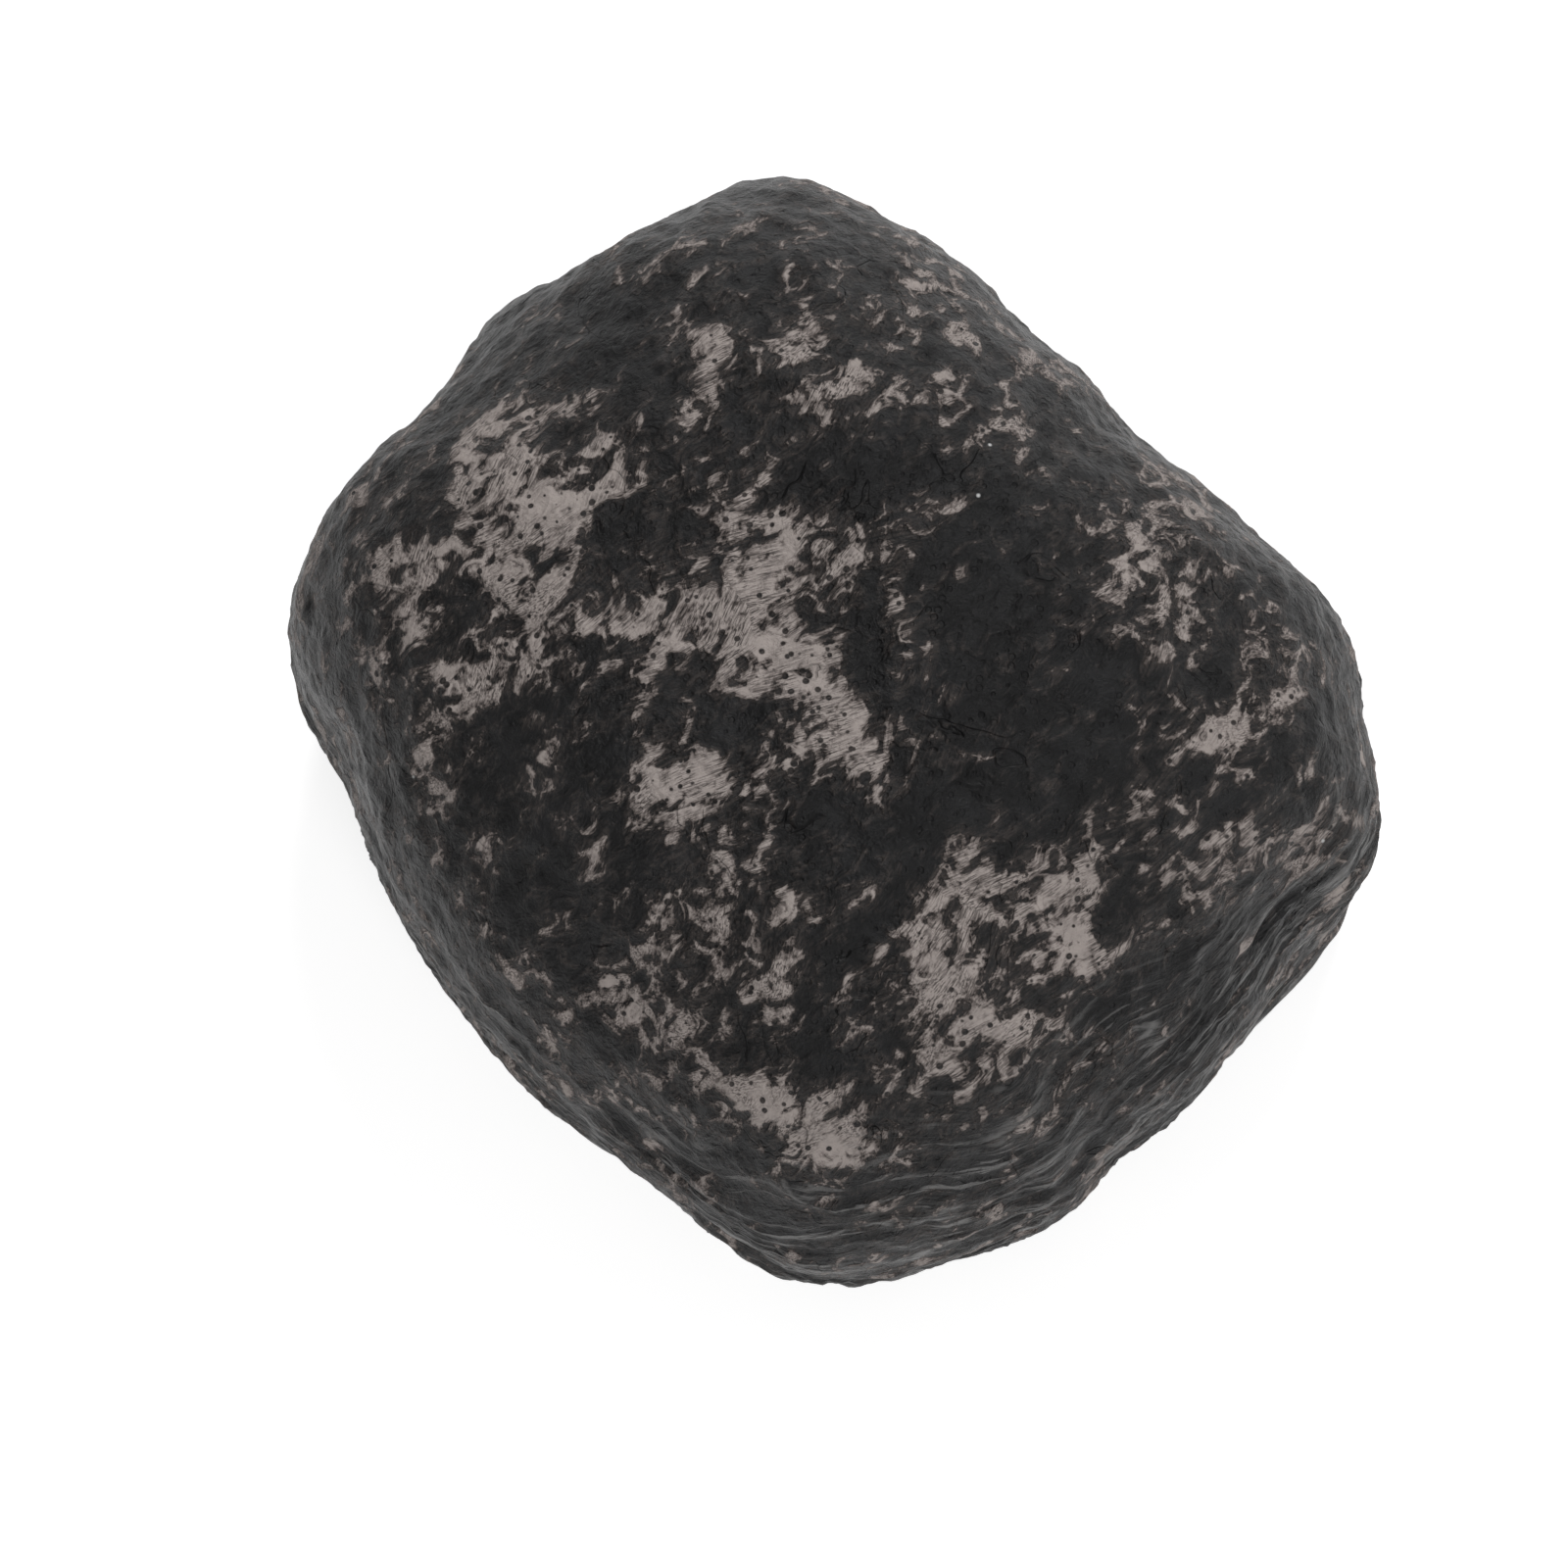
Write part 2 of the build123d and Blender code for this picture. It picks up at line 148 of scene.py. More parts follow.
def noise_field(tree, vector, size, detail=3.0, roughness=0.55, distortion=0.0):
    """Noise whose features are about size metres across."""
    node = add(
        tree, "TexNoise", Vector=vector, Scale=1 / size, Detail=detail,
        Roughness=roughness, Distortion=distortion,
    )
    return node.outputs[0]


def cell_field(tree, vector, size, settings=None):
    """A pattern of cells about size metres across, as a node with several outputs."""
    return add(tree, "TexVoronoi", settings, Vector=vector, Scale=1 / size)


def ramp(tree, value, low, high, to_low=0.0, to_high=1.0):
    """Goes smoothly from to_low, where the value is low or less, to to_high."""
    node = add(
        tree, "MapRange", {"interpolation_type": "SMOOTHSTEP"}, Value=value,
        From_Min=low, From_Max=high, To_Min=to_low, To_Max=to_high,
    )
    return node.outputs[0]


def blend_colour(tree, share, first, second):
    """The first colour where the share is 0, and the second where it is 1."""
    node = add(tree, "Mix", {"data_type": "RGBA"}, i0=share, i6=first, i7=second)
    return node.outputs[2]


def stretch(tree, vector, x, y, z):
    """Scales a pattern's coordinates: a number under 1 draws the pattern out along that axis."""
    scale = add(tree, "VectorMath", {"operation": "MULTIPLY"}, i0=vector, i1=(x, y, z))
    return scale.outputs[0]


def rotated(tree, vector, angle):
    """Turns a pattern's coordinates about Z."""
    node = add(tree, "VectorRotate", {"rotation_type": "Z_AXIS"}, Vector=vector, Angle=angle)
    return node.outputs[0]


def new_material(name):
    """A material, its node tree, its shader and the object's own coordinates."""
    material = bpy.data.materials.new(name)
    material.use_nodes = True
    tree = material.node_tree
    shader = tree.nodes["Principled BSDF"]
    place = add(tree, "TexCoord").outputs["Object"]
    return material, tree, shader, place


def bump(tree, shader, height, strength, distance):
    node = add(tree, "Bump", Strength=strength, Distance=distance, Height=height)
    tree.links.new(node.outputs[0], shader.inputs["Normal"])


def colour(value):
    """A grey or an (r, g, b), as the four numbers that a colour socket takes."""
    if isinstance(value, (int, float)):
        value = (value, value, value)
    return (*value, 1.0)


# ---------------------------------------------------------------- mesh helpers


def new_mesh(name, points, faces):
    mesh = bpy.data.meshes.new(name)
    mesh.from_pydata(points, [], faces)
    mesh.update()
    return mesh


def show_mesh(name, mesh, material):
    """Puts a finished mesh into the scene, smooth and in its material."""
    mesh.shade_smooth()
    mesh.materials.append(material)
    piece = bpy.data.objects.new(name, mesh)
    bpy.context.scene.collection.objects.link(piece)
    return piece


# ---------------------------------------------------------------- studio

FLOOR_SIZE = 6.0
FLOOR_HEIGHT = 0.05 * MM  # just over the rim's underside, so that the two don't lie in one plane
FLOOR_GREY = 0.80
FLOOR_LIFT = 0.66         # how much of the floor's white is its own
WORLD_LIGHT = 0.24        # strength that lights the object
WORLD_SEEN = 1.0          # strength that the camera sees
LAMP_AIM = Vector((0, 0, 0.04))
LAMPS = (                 # name, place, size and watts
    ("key", Vector((-0.66, 0.62, 0.80)), 0.5, 7.0),
    ("fill", Vector((0.9, -0.1, 0.8)), 0.6, 5.0),
)


def make_floor():
    """A pale floor that keeps the shadow, looks white to the camera and is clear from below."""
    bpy.ops.mesh.primitive_plane_add(size=FLOOR_SIZE, location=(0, 0, FLOOR_HEIGHT))
    floor = bpy.context.object
    floor.name = "studio_floor"
    material = bpy.data.materials.new("studio_floor")
    material.use_nodes = True
    tree = material.node_tree
    tree.nodes.clear()
    output = add(tree, "OutputMaterial")
    paint = add(tree, "BsdfDiffuse", Color=colour(FLOOR_GREY))
    glow = add(tree, "Emission", Color=colour(1.0), Strength=FLOOR_LIFT)
    both = add(tree, "AddShader", i0=paint.outputs[0], i1=glow.outputs[0])
    seen = add(tree, "LightPath")
    either = maths(tree, "MAXIMUM", seen.outputs["Is Camera Ray"], seen.outputs["Is Glossy Ray"])
    shown = add(tree, "MixShader", i0=either, i1=paint.outputs[0], i2=both.outputs[0])
    clear = add(tree, "BsdfTransparent")
    side = add(tree, "NewGeometry").outputs["Backfacing"]
    final = add(tree, "MixShader", i0=side, i1=shown.outputs[0], i2=clear.outputs[0])
    tree.links.new(final.outputs[0], output.inputs[0])
    floor.data.materials.append(material)


def make_world():
    """Even light from all round, with a white backdrop for the camera."""
    world = bpy.data.worlds.new("studio")
    bpy.context.scene.world = world
    world.use_nodes = True
    tree = world.node_tree
    tree.nodes.clear()
    output = add(tree, "OutputWorld")
    light = add(tree, "Background", Color=colour(1.0), Strength=WORLD_LIGHT)
    backdrop = add(tree, "Background", Color=colour(1.0), Strength=WORLD_SEEN)
    seen = add(tree, "LightPath").outputs["Is Camera Ray"]
    both = add(tree, "MixShader", i0=seen, i1=light.outputs[0], i2=backdrop.outputs[0])
    tree.links.new(both.outputs[0], output.inputs[0])


def make_lamps():
    for name, place, size, watts in LAMPS:
        data = bpy.data.lights.new(name, "AREA")
        data.shape = "DISK"
        data.size = size
        data.energy = watts
        lamp = bpy.data.objects.new(name, data)
        lamp.location = place
        lamp.rotation_euler = (LAMP_AIM - place).to_track_quat("-Z", "Y").to_euler()
        bpy.context.scene.collection.objects.link(lamp)


make_floor()
make_world()
make_lamps()
bpy.context.scene.view_settings.view_transform = "Standard"

# ---------------------------------------------------------------- rock

AROUND = 560                        # points round each ring
SIDE = AROUND // 4                  # squares along each side of the top patch
TOP_ANGLE = math.radians(42)        # that the top patch reaches, from straight up
LEVEL_RINGS = 82                    # rings from the top patch to the level of the core
LOWER_RINGS = 30                    # rings from there down to the rim
CORE_HEIGHT = 22.0 * MM
RIM_ROUND = 1.0 * MM
RIM_DEGREES = (30, 60, 90)          # of the rim's rounding, a ring at each
UNDERSIDE_SHARES = (0.25, 0.5, 0.75)    # of the way from the rim to the rebate
HOLLOW_DEGREES = (0, 8, 18, 30, 42, 54, 66, 78, 86)     # above level, a ring at each
RAY_START = 0.3                     # out from the core, well clear of the rock
RAY_REACH = 1.0
TINY = 1e-9

AZIMUTHS = [2 * math.pi * step / AROUND for step in range(AROUND)]
LEVEL_RAYS = [Vector((math.cos(azimuth), math.sin(azimuth), 0)) for azimuth in AZIMUTHS]

# The base's openings: where the plate and the gasket lie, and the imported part's own sizes
PLATE_LOW, PLATE_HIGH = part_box("base_plate")
GASKET_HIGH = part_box("base_gasket")[1]
PLATE_GAP = 0.3 * MM
PLATE_CORNER = 14.0 * MM
LEDGE = 9.0 * MM
LEDGE_CORNER = 12.0 * MM
FLOOR_TOP = 13.0 * MM

NOISE_SEED = Vector((3.7, 1.3, 9.1))
NOISE_FALL = 0.9                    # how fast the finer octaves weaken
NOISE_STEP = 2.0                    # how much finer each octave is


def turbulence(point, size, octaves, offset):
    """Noise from about -1 to 1 with features of a size. Each offset gives another pattern."""
    place = point / size + NOISE_SEED * offset
    return noise.fractal(
        place, NOISE_FALL, NOISE_STEP, octaves, noise_basis="PERLIN_ORIGINAL"
    )


def smooth_step(value, low, high):
    share = min(1.0, max(0.0, (value - low) / (high - low)))
    return share * share * (3 - 2 * share)


def rock_tree():
    """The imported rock, ready for rays."""
    mesh = NODES["rock_shell"].data
    points = [v.co.copy() for v in mesh.vertices]
    return BVHTree.FromPolygons(points, [tuple(p.vertices) for p in mesh.polygons])


def cast_inwards(tree, core, direction):
    """The outermost point of the rock in one direction from a core."""
    return tree.ray_cast(core + direction * RAY_START, -direction, RAY_REACH)[0]


def ray_at(azimuth, polar):
    """The direction at an azimuth from +X and an angle from straight up."""
    return Vector((
        math.sin(polar) * math.cos(azimuth),
        math.sin(polar) * math.sin(azimuth),
        math.cos(polar),
    ))


def top_patch():
    """Directions over the square patch on the crown, and the order of its edge."""
    directions = []
    edge = []
    for row in range(SIDE + 1):
        for column in range(SIDE + 1):
            a = 2 * column / SIDE - 1
            b = 2 * row / SIDE - 1
            if a == 0 and b == 0:
                radius, turn = 0.0, 0.0
            elif abs(a) > abs(b):
                radius, turn = a, math.pi / 4 * b / a
            else:
                radius, turn = b, math.pi / 2 - math.pi / 4 * a / b
            polar = abs(radius) * TOP_ANGLE
            azimuth = turn if radius >= 0 else turn + math.pi
            directions.append((azimuth, polar))
            if row in (0, SIDE) or column in (0, SIDE):
                edge.append((azimuth % (2 * math.pi), len(directions) - 1))
    return directions, [index for _, index in sorted(edge)]


def rounded_outline(length, width, corner, azimuth):
    """The point of a rounded rectangle in one direction from its middle."""
    ray = Vector((math.cos(azimuth), math.sin(azimuth)))
    quadrant = Vector((abs(ray.x), abs(ray.y)))
    reach = min(length / 2 / max(quadrant.x, TINY), width / 2 / max(quadrant.y, TINY))
    point = quadrant * reach
    middle = Vector((length / 2 - corner, width / 2 - corner))
    if point.x > middle.x and point.y > middle.y:
        along = quadrant.dot(middle)
        reach = along + math.sqrt(max(0.0, along ** 2 - middle.length_squared + corner ** 2))
    return ray * reach


class Rings:
    """A surface that grows from the edge of a patch, by rings of AROUND points."""

    def __init__(self, points, faces, edge):
        self.points = points
        self.faces = faces
        self.last = edge

    def last_points(self):
        return [self.points[index] for index in self.last]

    def grow(self, new_points):
        start = len(self.points)
        self.points.extend(new_points)
        after = list(range(start, start + AROUND))
        for step in range(AROUND):
            other = (step + 1) % AROUND
            self.faces.append((self.last[step], after[step], after[other], self.last[other]))
        self.last = after

    def close(self):
        """Shuts the last ring with triangles that meet in its middle."""
        self.points.append(sum(self.last_points(), Vector()) / AROUND)
        middle = len(self.points) - 1
        for step in range(AROUND):
            self.faces.append((self.last[step], middle, self.last[(step + 1) % AROUND]))


def crown_rings(tree, core):
    """The square patch on the crown, which the rings grow from."""
    directions, edge = top_patch()
    points = [cast_inwards(tree, core, ray_at(azimuth, polar)) for azimuth, polar in directions]
    across = SIDE + 1
    faces = []
    for row in range(SIDE):
        for column in range(SIDE):
            first = row * across + column
            faces.append((first, first + 1, first + across + 1, first + across))
    return Rings(points, faces, edge)


def grow_outside(rings, tree, core):
    """Down the sides to the level of the core, and from there to the rim."""
    for step in range(1, LEVEL_RINGS + 1):
        polar = TOP_ANGLE + (math.pi / 2 - TOP_ANGLE) * step / LEVEL_RINGS
        rings.grow([cast_inwards(tree, core, ray_at(azimuth, polar)) for azimuth in AZIMUTHS])
    for step in range(1, LOWER_RINGS + 1):
        height = CORE_HEIGHT + (RIM_ROUND - CORE_HEIGHT) * step / LOWER_RINGS
        middle = Vector((0, 0, height))
        rings.grow([cast_inwards(tree, middle, ray) for ray in LEVEL_RAYS])


def ledge_ring(length, width, corner, height):
    """A rounded rectangle round the base plate's middle."""
    middle = (PLATE_LOW + PLATE_HIGH) / 2
    return [
        Vector((*(rounded_outline(length, width, corner, azimuth) + middle.xy), height))
        for azimuth in AZIMUTHS
    ]


def grow_underside(rings):
    """Round the rim, over the underside, and up past the rebate and the base's opening."""
    rim = rings.last_points()
    for degrees in RIM_DEGREES:
        inwards = RIM_ROUND * (1 - math.cos(math.radians(degrees)))
        height = RIM_ROUND * (1 - math.sin(math.radians(degrees)))
        rings.grow([
            Vector((*(point.xy - point.xy.normalized() * inwards), height)) for point in rim
        ])
    plate = PLATE_HIGH - PLATE_LOW
    rebate = (plate.x + 2 * PLATE_GAP, plate.y + 2 * PLATE_GAP, PLATE_CORNER + PLATE_GAP)
    wider = (rebate[0] + PLATE_GAP, rebate[1] + PLATE_GAP, rebate[2] + PLATE_GAP / 2)
    opening = (plate.x - 2 * LEDGE, plate.y - 2 * LEDGE, LEDGE_CORNER)
    underside = rings.last_points()
    lip = ledge_ring(*rebate, 0.0)
    for share in UNDERSIDE_SHARES:
        rings.grow([outer.lerp(inner, share) for outer, inner in zip(underside, lip)])
    rings.grow(ledge_ring(*wider, 0.0))
    rings.grow(ledge_ring(*rebate, PLATE_GAP / 2))
    rings.grow(ledge_ring(*rebate, GASKET_HIGH.z))
    rings.grow(ledge_ring(*opening, GASKET_HIGH.z))
    rings.grow(ledge_ring(*opening, FLOOR_TOP))


def grow_hollow(rings, tree):
    """The hollow's walls and roof, as seen from just over the shell's floor."""
    middle = Vector((0, 0, FLOOR_TOP + MM))
    for degrees in HOLLOW_DEGREES:
        level = math.cos(math.radians(degrees))
        rise = math.sin(math.radians(degrees))
        rings.grow([
            tree.ray_cast(middle, Vector((level * ray.x, level * ray.y, rise)), RAY_REACH)[0]
            for ray in LEVEL_RAYS
        ])
    rings.close()


def rock_mesh():
    """The rock as one closed mesh, and how many of its first points are the outside."""
    tree = rock_tree()
    core = Vector((0, 0, CORE_HEIGHT))
    rings = crown_rings(tree, core)
    grow_outside(rings, tree, core)
    outside = len(rings.points)
    grow_underside(rings)
    grow_hollow(rings, tree)
    return new_mesh("rock_skin", rings.points, rings.faces), outside


# Relief
DENT_SIZE = 36 * MM
DENT_DEPTH = 1.3 * MM
DENT_LOSS = 0.75               # share of the dents that the side goes without
LUMP_SIZE = 13 * MM
LUMP_DEPTH = 0.8 * MM
LUMP_LOSS = 0.4                # share of the lumps that the side goes without
GRAIN_SIZE = 4.0 * MM
GRAIN_DEPTH = 0.42 * MM
WRINKLE_LONG = 22 * MM
WRINKLE_TALL = 3.0 * MM
WRINKLE_DEPTH = 0.8 * MM
WRINKLE_FALL = 2.2             # how steeply a wrinkle falls off from its crest
WRINKLE_LEVEL = 0.4            # height on a wrinkle that lies level with the skin
WRINKLE_TOP = 46 * MM          # height where the side's wrinkles have faded out, at the back
WRINKLE_FRONT = 16 * MM        # that they reach higher at the front
WRINKLE_BEND = 7 * MM
BEND_SIZE = 30 * MM
FADE_START = 0.6               # share of its top height at which a form starts to fade
RIM_FADE = 5 * MM              # height over which the relief grows from the rim
GIRTH = 70 * MM                # radius of the cylinder that wrinkles are drawn on

# Chin, a lump low on the side, with a hollow under it
CHIN_TURN = math.radians(47)
CHIN_HEIGHT = 25 * MM
CHIN_WIDE = 9 * MM
CHIN_TALL = 6 * MM
CHIN_OUT = 0.9 * MM
CHIN_UNDER = 11 * MM           # from the lump's middle down to the hollow's

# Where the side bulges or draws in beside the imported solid, as in the photograph: degrees round
# from +X, and mm outwards
OUTLINE_NUDGES = (
    (-5, -2), (15, 2), (37, -5), (47, 1), (71, 3), (95, 1), (115, 1.5), (135, 1.5),
    (156, 3), (173, -4.5), (191, 3.5), (218, -3), (251, -2.5),
)
NUDGE_WIDE = 9.0               # degrees
NUDGE_TOP = 62 * MM            # height where they have faded out
NUDGE_RISE = 15 * MM           # height over which they grow from the rim


def fade_out(height, top):
    """1 low on the rock, and 0 from the top height up."""
    return 1 - smooth_step(height, top * FADE_START, top)


def nudge(point):
    """How far the side moves out, so that its outline follows the photograph."""
    turn = math.degrees(math.atan2(point.y, point.x))
    moved = 0.0
    for middle, amount in OUTLINE_NUDGES:
        off = (turn - middle + 180) % 360 - 180
        moved += amount * MM * math.exp(-(off / NUDGE_WIDE) ** 2)
    return moved * fade_out(point.z, NUDGE_TOP) * smooth_step(point.z, 0, NUDGE_RISE)


def side_flow(point):
    """Coordinates that run along the side, round the rock in waves, and up it."""
    turn = math.atan2(point.y, point.x)
    bend = turbulence(point, BEND_SIZE, 2, 5) * WRINKLE_BEND
    return Vector((math.cos(turn) * GIRTH, math.sin(turn) * GIRTH, point.z + bend))


def chin(point):
    """How far the chin stands out, or its hollow draws in."""
    turn = math.atan2(point.y, point.x) - CHIN_TURN
    along = turn * GIRTH / CHIN_WIDE
    lump = math.exp(-along ** 2 - ((point.z - CHIN_HEIGHT) / CHIN_TALL) ** 2)
    hollow = math.exp(-along ** 2 - ((point.z - CHIN_HEIGHT + CHIN_UNDER) / CHIN_TALL) ** 2)
    return (lump - hollow) * CHIN_OUT


def relief(point, flow):
    """Height of the relief at a point, its lumps, how far it is side, and its wrinkles' crests."""
    front = max(0.0, point.x / point.xy.length) if point.xy.length else 0.0
    side = fade_out(point.z, WRINKLE_TOP + WRINKLE_FRONT * front)
    dents = turbulence(point, DENT_SIZE, 2, 1) * DENT_DEPTH * (1 - DENT_LOSS * side)
    lumps = turbulence(point, LUMP_SIZE, 3, 2)
    grain = turbulence(point, GRAIN_SIZE, 3, 3) * GRAIN_DEPTH
    drawn = Vector((flow.x / WRINKLE_LONG, flow.y / WRINKLE_LONG, flow.z / WRINKLE_TALL))
    crest = 1 - abs(noise.noise(drawn + NOISE_SEED * 4)) * WRINKLE_FALL
    wrinkles = (crest - WRINKLE_LEVEL) * WRINKLE_DEPTH * side
    height = dents + lumps * LUMP_DEPTH * (1 - LUMP_LOSS * side)
    height += grain + wrinkles + chin(point) + nudge(point)
    return height * smooth_step(point.z, 0, RIM_FADE), lumps, side, crest


# Pale patches, by their middle in the photograph's pixels: x, y, half length, half width,
# angle of the long way above the picture's +x in degrees, and strength
PALE_PATCHES = (
    (560, 455, 90, 50, 25, 0.9), (500, 430, 60, 40, 30, 0.7), (540, 520, 60, 45, 60, 1.0),
    (500, 560, 70, 45, 20, 0.8), (400, 560, 45, 60, 50, 0.5), (620, 610, 90, 45, 20, 0.9),
    (660, 500, 45, 80, 60, 0.6), (520, 640, 60, 40, 45, 0.9), (420, 650, 70, 60, 0, 0.5),
    (485, 710, 35, 35, 0, 1.1), (440, 770, 40, 50, 70, 0.6), (720, 350, 40, 50, 60, 0.6),
    (800, 320, 60, 25, 0, 0.7), (900, 330, 90, 35, 10, 0.5), (860, 400, 60, 40, 60, 0.6),
    (960, 300, 50, 40, 30, 0.6), (1040, 435, 40, 18, -20, 0.8), (760, 510, 40, 45, 80, 0.8),
    (750, 600, 80, 45, 20, 1.1), (870, 580, 50, 40, 50, 0.9), (825, 690, 85, 36, -65, 1.5),
    (700, 650, 70, 45, 10, 0.7), (740, 720, 60, 40, 70, 0.7), (880, 770, 35, 30, 20, 0.9),
    (740, 800, 40, 80, 80, 0.9), (760, 900, 60, 80, 80, 0.9), (940, 640, 30, 50, 80, 0.7),
    (1160, 540, 70, 45, 10, 0.8), (1185, 590, 45, 40, 0, 1.1), (1220, 650, 60, 40, 20, 1.1),
    (1240, 735, 65, 34, 10, 1.7), (1150, 640, 30, 50, 80, 0.5), (1240, 870, 50, 40, 10, 0.7),
    (1300, 860, 30, 60, 70, 0.7), (970, 885, 50, 50, 30, 1.1), (1080, 910, 70, 40, 10, 1.0),
    (950, 960, 60, 60, 45, 0.9), (1120, 990, 30, 60, 70, 1.0), (1090, 960, 50, 40, 30, 0.6),
    (640, 1010, 35, 75, 120, 1.0), (690, 1060, 45, 30, 130, 1.2), (770, 1120, 60, 36, -10, 1.6),
    (860, 1165, 65, 28, -25, 2.0), (700, 950, 50, 50, 60, 0.6), (780, 1020, 50, 40, 0, 0.6),
    (960, 1050, 60, 50, 30, 0.9), (1050, 1060, 50, 40, 30, 0.8), (840, 1222, 24, 18, 0, 1.4),
    (1130, 820, 35, 22, 0, 0.5), (760, 230, 50, 30, 0, 0.5), (930, 1120, 60, 40, 30, 0.4),
)
DARK_PATCHES = (
    (1040, 640, 100, 150, 80, 0.9), (1000, 800, 120, 55, 0, 0.7), (900, 1205, 120, 40, 10, 0.8),
    (760, 270, 120, 40, 0, 0.5), (680, 440, 60, 40, 40, 0.6), (930, 480, 120, 50, 20, 0.6),
    (650, 980, 30, 40, 30, 0.5), (740, 1075, 40, 14, -10, 0.8), (600, 590, 40, 20, 40, 0.6),
    (620, 400, 50, 25, 30, 0.5), (480, 600, 40, 18, 30, 0.6), (690, 540, 25, 60, 0, 0.5),
    (1180, 1000, 60, 120, 120, 0.7), (870, 890, 45, 120, 100, 0.6), (600, 760, 70, 60, 40, 0.5),
    (1100, 760, 100, 60, 0, 0.6), (560, 330, 90, 40, 30, 0.6), (1110, 430, 60, 50, -45, 0.5),
)
PALE_GROUND = 0.20             # density between the patches
PALE_ELSEWHERE = 0.42          # density where the photograph doesn't reach
PALE_LEAST = -0.6              # limits that the density is held to in the photograph
PALE_MOST = 1.8
WANDER_SIZE = 24 * MM
WANDER = 0.5                   # how much the density varies where the photograph doesn't reach
FACING_LEAST = 0.25            # how squarely the skin faces the camera where the patches begin
FACING_BAND = 0.3              # and over which they come to count in full
SMOOTHINGS = 3


def patch_field(points, normals):
    """How densely pale paint lies at each point, from the patches and a seeded noise."""
    x, y = photo_pixels(points)
    field = np.full(len(points), PALE_GROUND)
    for sign, patches in ((1, PALE_PATCHES), (-1, DARK_PATCHES)):
        for mid_x, mid_y, long_way, short_way, degrees, strength in patches:
            turn = math.radians(degrees)
            right = x - mid_x
            above = mid_y - y
            along = (right * math.cos(turn) + above * math.sin(turn)) / long_way
            across = (above * math.cos(turn) - right * math.sin(turn)) / short_way
            field += sign * strength * np.exp(-(along ** 2 + across ** 2))
    toward = -(normals @ np.array(FORWARD))
    seen = np.clip((toward - FACING_LEAST) / FACING_BAND, 0, 1)
    wander = np.array([turbulence(Vector(p), WANDER_SIZE, 2, 7) for p in points])
    elsewhere = PALE_ELSEWHERE + WANDER * wander
    return seen * np.clip(field, PALE_LEAST, PALE_MOST) + (1 - seen) * elsewhere


def smooth_skin(mesh, outside):
    """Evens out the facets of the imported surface, apart from the rim."""
    work = bmesh.new()
    work.from_mesh(mesh)
    work.verts.ensure_lookup_table()
    skin = [v for v in work.verts[:outside] if v.co.z > RIM_FADE]
    for _ in range(SMOOTHINGS):
        bmesh.ops.smooth_vert(
            work, verts=skin, factor=0.5, use_axis_x=True, use_axis_y=True, use_axis_z=True
        )
    work.to_mesh(mesh)
    work.free()


def set_attribute(mesh, name, kind, values):
    """Keeps a value or vector for each point, which the rock's paint reads."""
    attribute = mesh.attributes.new(name, kind, "POINT")
    key = "vector" if kind == "FLOAT_VECTOR" else "value"
    attribute.data.foreach_set(key, np.asarray(values, np.float32).ravel())


def shape_skin(mesh, outside):
    """Raises the relief along the normals and stores what the paint needs."""
    count = len(mesh.vertices)
    points = np.empty(count * 3)
    mesh.vertices.foreach_get("co", points)
    points = points.reshape(-1, 3)
    normals = np.array([v.vector for v in mesh.vertex_normals])
    lumps = np.zeros(count)
    side = np.zeros(count)
    crest = np.zeros(count)
    flow = points.copy()
    for index in range(outside):
        point = Vector(points[index])
        around = side_flow(point)
        height, lumps[index], side[index], crest[index] = relief(point, around)
        flow[index] = around
        points[index] += normals[index] * height
    pale = np.full(count, -1.0)
    pale[:outside] = patch_field(points[:outside], normals[:outside])
    mesh.vertices.foreach_set("co", points.ravel())
    for name, values in (("pale", pale), ("lump", lumps), ("side", side), ("crest", crest)):
        set_attribute(mesh, name, "FLOAT", values)
    set_attribute(mesh, "flow", "FLOAT_VECTOR", flow)
    mesh.update()


def make_rock():
    mesh, outside = rock_mesh()
    smooth_skin(mesh, outside)
    shape_skin(mesh, outside)
    rock = show_mesh("rock_skin", mesh, rock_paint())
    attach(rock, "rock")
    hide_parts("rock_shell")


CHARCOAL = (0.0070, 0.0068, 0.0072)
CHARCOAL_WORN = (0.0155, 0.0155, 0.0165)
TAUPE_DARK = (0.060, 0.050, 0.046)
TAUPE = (0.150, 0.125, 0.115)
TAUPE_LIGHT = (0.44, 0.385, 0.36)
# Colour of the side's lines: partly silvery paint, mostly painted sheen on the wrinkles
SILVER_AND_SHEEN = (0.27, 0.265, 0.26)
SILVER_SHEEN_COVER = 0.85
# Grey of the tiny painted glints
GLINT = 0.75
SKIN_SPECULAR = 0.24

PAINT_EDGE = 0.975              # level of the paint's field where it starts to cover
BRUSHED_WAY = math.radians(73)  # turn that brings the brush's usual way onto X
LEAST_TURN = 0.75               # radians that a stroke turns from X, at the least
MOST_TURN = 1.8                 # and at the most

# Sizes of the patterns in the paint
STROKE_SIZE = 11 * MM
HAIR_SIZE = 0.38 * MM
FINE_HAIR_SIZE = 0.22 * MM
FRAGMENT_SIZE = 6.5 * MM
TORN_SIZE = 3.1 * MM
PIT_SPACING = 1.7 * MM
PIT_VARIES = 4 * MM
THICK_SIZE = 6 * MM
WORN_SIZE = 10 * MM
STREAK_SIZE = 1.0 * MM
STREAK_BREAK = 5 * MM
# spacing of the tiny painted glints
GLINT_SPACING = 14 * MM
GLOSS_SIZE = 3 * MM
FINE_GRAIN_SIZE = 1.1 * MM
CRACK_SIZE = 17 * MM
CRACK_AREA = 9 * MM
SKIN_BUMP = 0.70 * MM


